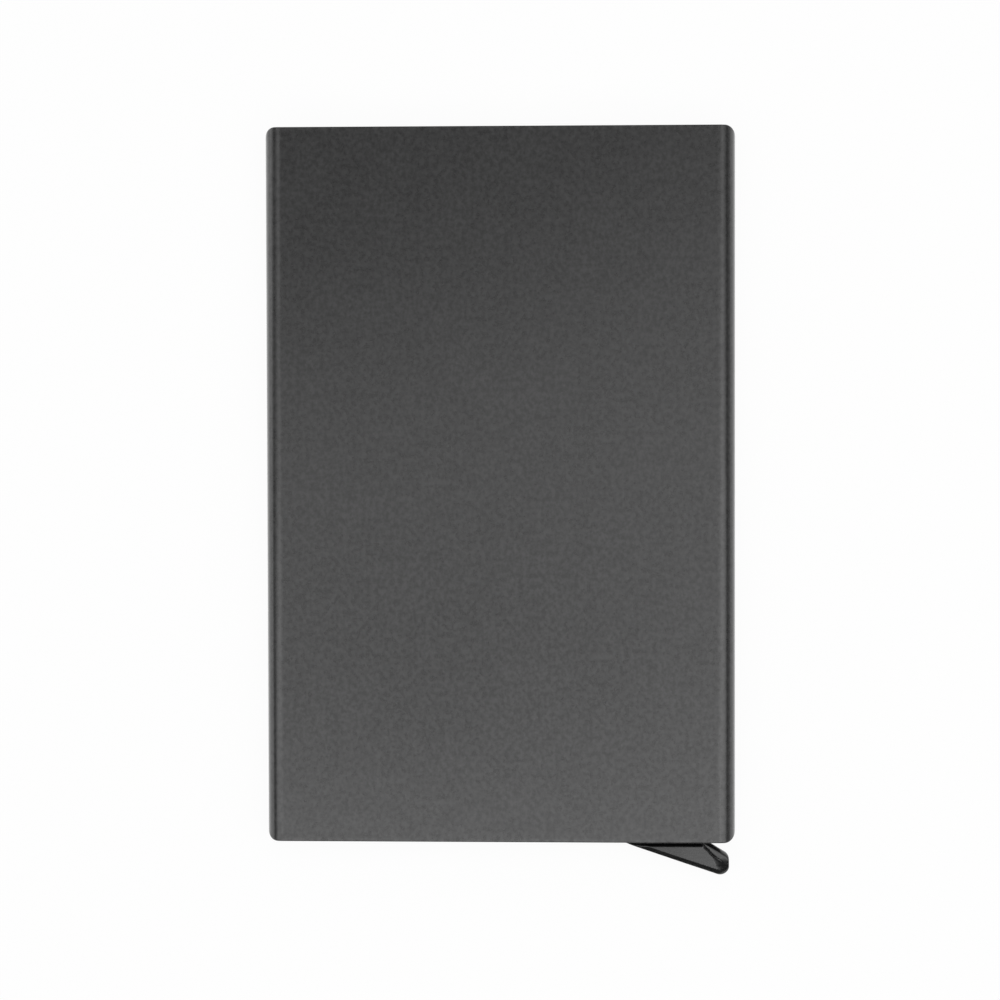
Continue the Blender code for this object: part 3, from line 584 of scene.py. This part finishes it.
def rim_fall(points, edge):
    """How far the rim's arc lies below the top at this depth inside the outline, and its slope."""
    width, tilt = rim_shape(points)
    start, end = math.sin(RIM_TILT), np.sin(tilt)
    bend = width / (end - start)
    sine = np.clip(end - np.clip(edge, 0, None) / bend, start, None)
    cosine = np.sqrt(1 - sine**2)
    fall = np.where(edge > width - TINY, 0.0, bend * (math.cos(RIM_TILT) - cosine))
    # The last ring of the rim keeps the rim's own slope.
    return fall, np.where(edge > width + RIM_MARGIN, 0.0, sine / cosine)


SLOPE_AT = np.linspace(0, 1, 101)


def slope_table(steepness):
    """Shares of the height along a slope of this steepness, from 0 to 1."""
    total = np.concatenate([[0], np.cumsum(steepness[1:] + steepness[:-1])])
    return total / total[-1]


CREST = np.clip((1 - SLOPE_AT) / (1 - CREST_START), 0, 1)
HOLLOW = HOLLOW_START + HOLLOW_GROWTH * np.minimum(SLOPE_AT, CREST_START) ** 2
RIDGE_SHARE = slope_table(HOLLOW * CREST)
NOSE_SHARE = slope_table(np.minimum(SLOPE_AT / RAMP_START, 1) * CREST)


def slope_share(t, nose):
    """From 0 to 1 across the slope, which is the ridge's where nose is 0 and the nose's where it is 1."""
    ridge_part, nose_part = (np.interp(t, SLOPE_AT, shares) for shares in (RIDGE_SHARE, NOSE_SHARE))
    return (1 - nose) * ridge_part + nose * nose_part


def tab_top(points, front):
    """Half the tab's thickness inside its rim: the web, the slope beside it and the ridge."""
    to_crest, to_toe = (nearest(points, np.array(line))[0] for line in (CREST_LINE, TOE_LINE))
    nose = smooth((NOSE_START - points[:, 1]) / NOSE_LENGTH)
    width = np.maximum(to_crest - to_toe, LEAST_SLOPE_WIDTH)
    rise = slope_share(np.clip(-to_toe / width, 0, 1), nose)
    height = HALF_THICKNESS - WEB_DEPTH * (1 - rise)
    if front:
        beyond = np.clip(NOSE_FALL_Y - points[:, 1], 0, None)
        bent = np.minimum(beyond, NOSE_BEND_LENGTH)
        fall = NOSE_BEND * (bent**2 + 2 * NOSE_BEND_LENGTH * (beyond - bent))
        fall += RIDGE_LEAN * np.clip(RIDGE_LEAN_Y - points[:, 1], 0, None)
        height = height - rise * fall
        turned = smooth((points[:, 0] - TWIST_X) / TWIST_LENGTH)
        twist = WEB_TWIST[0] + (WEB_TWIST[1] - WEB_TWIST[0]) * turned
        height = height + (1 - rise) * twist * (points[:, 1] - NOSE_FALL_Y)
    dip = smooth((points[:, 1] - DIP_START) / DIP_LENGTH) * (1 - rise)
    return height - DIP_DEPTH * dip


def tab_side(points, edge, slope, front):
    """Heights and normals of one side of the tab."""
    fall, steepness = rim_fall(points, edge)
    height = tab_top(points, front) - fall
    gradient = slope * steepness[:, None]
    for axis in (0, 1):
        move = np.zeros(2)
        move[axis] = SLOPE_STEP
        after, before = (tab_top(at, front) for at in (points + move, points - move))
        gradient[:, axis] += (after - before) / (2 * SLOPE_STEP)
    return height, unit(np.stack([-gradient[:, 0], -gradient[:, 1], np.ones(len(points))], 1))


def make_tab():
    """The visible tab: two modelled sides and the wall between them."""
    outline = tab_outline()
    following, previous = np.roll(outline, -1, axis=0), np.roll(outline, 1, axis=0)
    tangent = unit(unit(following - outline) + unit(outline - previous))
    inward = np.stack([-tangent[:, 1], tangent[:, 0]], 1)
    reach = rim_shape(outline)[0]
    stations = [reach * t for t in np.linspace(0, 1, RIM_RINGS)]
    ring_points = np.concatenate([outline + inward * d[:, None] for d in stations])
    ring_edge = np.concatenate(stations)
    ring_slope = np.tile(inward, (len(stations), 1))

    low, high = outline.min(0), outline.max(0)
    xs, ys = (np.arange(low[axis], high[axis], GRID_SPACING) for axis in (0, 1))
    grid = np.stack(np.meshgrid(xs, ys), -1).reshape(-1, 2)
    grid[:, 0] += (np.round((grid[:, 1] - low[1]) / GRID_SPACING) % 2) * GRID_SPACING / 2
    grid_edge, grid_slope = nearest(grid, outline)
    keep = grid_edge > rim_shape(grid)[0] + GRID_GAP
    grid, grid_edge, grid_slope = grid[keep], grid_edge[keep], grid_slope[keep]

    points = np.concatenate([ring_points, grid])
    edge = np.concatenate([ring_edge, grid_edge])
    slope = np.concatenate([ring_slope, grid_slope])
    count = len(outline)
    border = [(i, (i + 1) % count) for i in range(count)]
    made = delaunay_2d_cdt([Vector(p) for p in points], border, [], 1, TINY)
    index = [sources[0] if sources else None for sources in made[3]]
    triangles = [tuple(index[k] for k in f) for f in made[2]]
    triangles = [t for t in triangles if None not in t]

    height, up = tab_side(points, edge, slope, True)
    depth, down = tab_side(points, edge, slope, False)

    total = len(points)
    front = np.stack([points[:, 0], points[:, 1], MID + height], 1)
    back = np.stack([points[:, 0], points[:, 1], MID - depth], 1)
    faces = []
    for a, b, c in triangles:
        pa, pb, pc = points[a], points[b], points[c]
        turn = (pb[0] - pa[0]) * (pc[1] - pa[1]) - (pb[1] - pa[1]) * (pc[0] - pa[0])
        if abs(turn) < LEAST_TURN:
            continue
        if turn < 0:
            b, c = c, b
        faces.append((a, b, c))
        faces.append((total + a, total + c, total + b))
    # The wall between the two has corners of its own, so that its shading starts anew.
    first = 2 * total
    for i in range(count):
        j = (i + 1) % count
        faces.append((first + i, first + count + i, first + count + j, first + j))
    wall = [
        np.concatenate([-inward * math.sin(t), np.full((count, 1), math.cos(t))], axis=1)
        for t in WALL_TILTS
    ]
    all_points = np.concatenate([front, back, front[:count], back[:count]])
    all_normals = np.concatenate([up, down * np.array((1, 1, -1)), *wall])
    return mesh_object(
        "lever_tab", all_points, faces, all_normals,
        body="lever", replaces=("ejector_lever",),
    )


def make_arm():
    """The hub, keel and stepped arm: the CAD lever from just below the seam, inside the sleeve."""
    shape = bmesh.new()
    shape.from_mesh(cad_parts["ejector_lever"].data)
    bmesh.ops.remove_doubles(shape, verts=shape.verts, dist=WELD_DISTANCE * MM)
    geometry = shape.verts[:] + shape.edges[:] + shape.faces[:]
    seam = (0, (SEAM_Y - SEAM_OVERLAP) * MM, 0)
    cut = bmesh.ops.bisect_plane(
        shape, geom=geometry, plane_co=seam, plane_no=(0, -1, 0), clear_outer=True
    )
    edges = [e for e in cut["geom_cut"] if isinstance(e, bmesh.types.BMEdge)]
    bmesh.ops.holes_fill(shape, edges=edges)
    mesh = bpy.data.meshes.new("lever_arm")
    shape.to_mesh(mesh)
    shape.free()
    obj = bpy.data.objects.new("lever_arm", mesh)
    bpy.context.scene.collection.objects.link(obj)
    mesh.shade_smooth()
    mesh.set_sharp_from_angle(angle=SHARP_ANGLE)
    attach(obj, "lever")
    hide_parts("ejector_lever")
    return obj


# ---------------------------------------------------------------- pieces kept from the CAD

def soften(name, width):
    """Weld a carried node and break its edges by this many millimetres."""
    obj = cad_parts[name]
    weld = obj.modifiers.new("weld", "WELD")
    weld.merge_threshold = WELD_DISTANCE * MM
    if width:
        bevel = obj.modifiers.new("edge_break", "BEVEL")
        bevel.width = width * MM
        bevel.segments = 2
        bevel.limit_method = "ANGLE"
        bevel.angle_limit = BEVEL_ANGLE
        bevel.use_clamp_overlap = True
        bevel.harden_normals = False
    return obj


# ---------------------------------------------------------------- stage, light and camera

# In metres, apart from what says millimetres
FLOOR_RADIUS, FLOOR_SEGMENTS, FLOOR_DROP = 3.0, 96, 0.00005
FLOOR_COLOUR, FLOOR_GLOW = 0.88, 0.94

# Stripes of the tent, as (height of the direction, brightness). On the left wall they climb at +Y.
WORLD_STOPS = (
    (0.0, 0.853), (0.1, 0.012), (0.2, 0.663), (0.4, 0.048),
    (0.65, 0.598), (0.86, 0.972), (0.96, 0.303), (1.0, 0.2),
)
LEFT_STOPS = (
    (0.0, 0.853), (0.12, 0.75), (0.22, 0.03), (0.34, 0.04),
    (0.58, 0.72), (0.86, 0.972), (0.96, 0.303), (1.0, 0.2),
)
LEFT_X, CLIMB_Y, CLIMB_Z, CLIMB = (-0.35, -0.15), (-0.03, 0.05), (0.85, 0.98), 0.3
# The stripes' shares at -X and +X and at -Y and +Y, the glow low down at the sides, the plain ends
WORLD_X, WORLD_Y = (1.28, 1.12), (0.7, 1.3)
GLOW_LEFT, GLOW_RIGHT, GLOW_HEIGHT = 0.433, 0.023, 0.35
TENT_ENDS, END_Y, END_LEVELS = (0.3, 0.6), (-0.6, 0.6), (0.09, 0.32)
# Name, place, width, length and level. The fill lights only what scatters light.
LAMPS = (
    ("lamp_base_side", (0.0, -0.133, 0.324), 0.34, 0.119, 1.409),
    ("lamp_left", (-0.197, -0.05, 0.382), 0.066, 0.5, 0.944),
    ("lamp_right", (0.218, -0.05, 0.37), 0.16, 0.5, 0.917),
    ("lamp_fill", (0.06, 0.12, 0.62), 0.3, 0.3, 4.3),
)
# Place in millimetres, turn in degrees and lens, worked out from the outline in the photograph
CAMERA_PLACE, CAMERA_TURN = (27.94, 16.96, 500.0), (-2.207, 3.236, -0.132)
CAMERA_LENS, SENSOR_WIDTH, CAMERA_CLIP = 132.58, 36.0, (0.01, 20.0)


def camera_mix(tree, seen, unseen):
    """One shader for camera, glossy and transmission rays, and the other for the rest."""
    path = tree.nodes.new("ShaderNodeLightPath")
    total = path.outputs["Is Camera Ray"]
    for output in ("Is Glossy Ray", "Is Transmission Ray"):
        maximum = tree.nodes.new("ShaderNodeMath")
        maximum.operation = "MAXIMUM"
        tree.links.new(total, maximum.inputs[0])
        tree.links.new(path.outputs[output], maximum.inputs[1])
        total = maximum.outputs[0]
    mix = tree.nodes.new("ShaderNodeMixShader")
    tree.links.new(total, mix.inputs[0])
    tree.links.new(unseen, mix.inputs[1])
    tree.links.new(seen, mix.inputs[2])
    return mix.outputs[0]


def make_floor():
    """A round white floor that glows for the camera and yet keeps the holder's shadow."""
    shape = bmesh.new()
    bmesh.ops.create_circle(shape, cap_ends=True, segments=FLOOR_SEGMENTS, radius=FLOOR_RADIUS)
    bmesh.ops.translate(shape, vec=(0, 0, -FLOOR_DROP), verts=shape.verts)
    mesh = bpy.data.meshes.new("floor")
    shape.to_mesh(mesh)
    shape.free()
    floor = bpy.data.objects.new("floor", mesh)
    bpy.context.scene.collection.objects.link(floor)
    material = bpy.data.materials.new("white_floor")
    material.use_nodes = True
    tree = material.node_tree
    tree.nodes.remove(tree.nodes["Principled BSDF"])
    diffuse = tree.nodes.new("ShaderNodeBsdfDiffuse")
    diffuse.inputs["Color"].default_value = grey(FLOOR_COLOUR)
    glow = tree.nodes.new("ShaderNodeEmission")
    glow.inputs["Color"].default_value = grey(1.0)
    glow.inputs["Strength"].default_value = 1.0
    partly = tree.nodes.new("ShaderNodeMixShader")
    partly.inputs[0].default_value = FLOOR_GLOW
    tree.links.new(diffuse.outputs[0], partly.inputs[1])
    tree.links.new(glow.outputs[0], partly.inputs[2])
    result = camera_mix(tree, partly.outputs[0], diffuse.outputs[0])
    tree.links.new(result, tree.nodes["Material Output"].inputs["Surface"])
    paint(floor, material)


def make_world():
    """A tent with light and dark stripes along its sides and plain ends at -Y and +Y."""
    world = bpy.data.worlds.new("studio")
    bpy.context.scene.world = world
    world.use_nodes = True
    tree = world.node_tree
    tent = tree.nodes["Background"]

    def number(first, second, operation):
        """What the operation makes of two values."""
        made = tree.nodes.new("ShaderNodeMath")
        made.operation = operation
        for socket, value in zip(made.inputs, (first, second)):
            if isinstance(value, bpy.types.NodeSocket):
                tree.links.new(value, socket)
            else:
                socket.default_value = value
        return made.outputs[0]

    def across(value, low, high, to_low, to_high):
        """The value carried over from one range to another."""
        made = tree.nodes.new("ShaderNodeMapRange")
        tree.links.new(value, made.inputs[0])
        ends = {"From Min": low, "From Max": high, "To Min": to_low, "To Max": to_high}
        for socket, v in ends.items():
            made.inputs[socket].default_value = v
        return made.outputs[0]

    place = tree.nodes.new("ShaderNodeTexCoord")
    split = tree.nodes.new("ShaderNodeSeparateXYZ")
    tree.links.new(place.outputs["Generated"], split.inputs[0])
    x, y, z = split.outputs

    def along_height(height, stops):
        """The brightness at this height."""
        ramp = tree.nodes.new("ShaderNodeValToRGB")
        tree.links.new(height, ramp.inputs[0])
        elements = ramp.color_ramp.elements
        while len(elements) < len(stops):
            elements.new(0.5)
        for element, (position, level) in zip(elements, stops):
            element.position = position
            element.color = grey(level)
        return ramp.outputs[0]

    climb = number(across(y, *CLIMB_Y, 0.0, CLIMB), across(z, *CLIMB_Z, 1.0, 0.0), "MULTIPLY")
    right = along_height(z, WORLD_STOPS)
    left = along_height(number(z, climb, "SUBTRACT"), LEFT_STOPS)
    change = number(number(left, right, "SUBTRACT"), across(x, *LEFT_X, 1.0, 0.0), "MULTIPLY")
    stripes = number(right, change, "ADD")
    sides = number(across(x, -1, 1, *WORLD_X), across(y, -1, 1, *WORLD_Y), "MULTIPLY")
    upper = number(stripes, sides, "MULTIPLY")
    low = across(z, 0.0, GLOW_HEIGHT, 1.0, 0.0)
    wall = number(across(x, -1, 0, GLOW_LEFT, 0.0), across(x, 0, 1, 0.0, GLOW_RIGHT), "ADD")
    level = number(upper, number(low, wall, "MULTIPLY"), "ADD")
    along = number(y, 0.0, "ABSOLUTE")
    level = number(level, across(along, *TENT_ENDS, 1.0, 0.0), "MULTIPLY")
    plain = across(y, *END_Y, *END_LEVELS)
    ends = number(across(along, *TENT_ENDS, 0.0, 1.0), plain, "MULTIPLY")
    level = number(level, ends, "ADD")
    tree.links.new(level, tent.inputs["Strength"])
    tent.inputs["Color"].default_value = grey(1.0)


def softbox(name, place, width, length, level):
    """An area lamp of this brightness that is aimed at the origin."""
    data = bpy.data.lights.new(name, "AREA")
    data.shape = "RECTANGLE"
    data.size, data.size_y = width, length
    data.energy = level * math.pi * width * length
    lamp = bpy.data.objects.new(name, data)
    bpy.context.scene.collection.objects.link(lamp)
    lamp.location = place
    lamp.rotation_mode = "QUATERNION"
    lamp.rotation_quaternion = (Vector() - Vector(place)).to_track_quat("-Z", "Y")
    lamp.visible_camera = False
    lamp.visible_glossy = name != "lamp_fill"
    return lamp


def make_camera():
    """The camera of the photograph."""
    data = bpy.data.cameras.new("camera")
    camera = bpy.data.objects.new("camera", data)
    bpy.context.scene.collection.objects.link(camera)
    data.sensor_width = SENSOR_WIDTH
    data.lens = CAMERA_LENS
    data.clip_start, data.clip_end = CAMERA_CLIP
    turn = Matrix.Rotation(math.radians(CAMERA_TURN[2]), 4, "Z")
    turn = turn @ Matrix.Rotation(math.radians(CAMERA_TURN[1]), 4, "Y")
    turn = turn @ Matrix.Rotation(math.radians(CAMERA_TURN[0]), 4, "X")
    camera.matrix_world = Matrix.Translation([v * MM for v in CAMERA_PLACE]) @ turn
    bpy.context.scene.camera = camera


# ---------------------------------------------------------------- the scene

plastic, gloss = moulded_black(), gloss_black()
spring_steel = steel("spring_steel", 0.45, 0.3, (1, 0.12, 1))
plain_steel = steel("plain_steel", 0.55, 0.28, (1, 1, 0.3))
rubber_black, slip, felt_black = rubber(), slip_plastic(), felt()

paint(make_sleeve(), anodised())
paint(make_tab(), gloss)
paint(make_arm(), gloss)

for node, width, material in (
    ("base_tray", 0.1, plastic),
    ("tray_cover", 0.1, plastic),
    ("guide_rail_left", 0.12, plastic),
    ("guide_rail_right", 0.12, plastic),
    ("cover_screw_1", 0.0, plain_steel),
    ("cover_screw_2", 0.0, plain_steel),
    ("cover_screw_3", 0.0, plain_steel),
    ("cover_screw_4", 0.0, plain_steel),
    ("pivot_pin", 0.0, plain_steel),
    ("pivot_washer_rear", 0.0, slip),
    ("pivot_washer_front", 0.0, slip),
    ("lever_bumper", 0.15, rubber_black),
    ("brake_spring_left", 0.04, spring_steel),
    ("brake_spring_right", 0.04, spring_steel),
    ("felt_strip_rear_left", 0.1, felt_black),
    ("felt_strip_rear_right", 0.1, felt_black),
    ("felt_strip_front_left", 0.1, felt_black),
    ("felt_strip_front_right", 0.1, felt_black),
):
    paint(soften(node, width), material)

make_floor()
make_world()
for lamp in LAMPS:
    softbox(*lamp)
make_camera()

settings = bpy.context.scene.view_settings
settings.view_transform = "Standard"
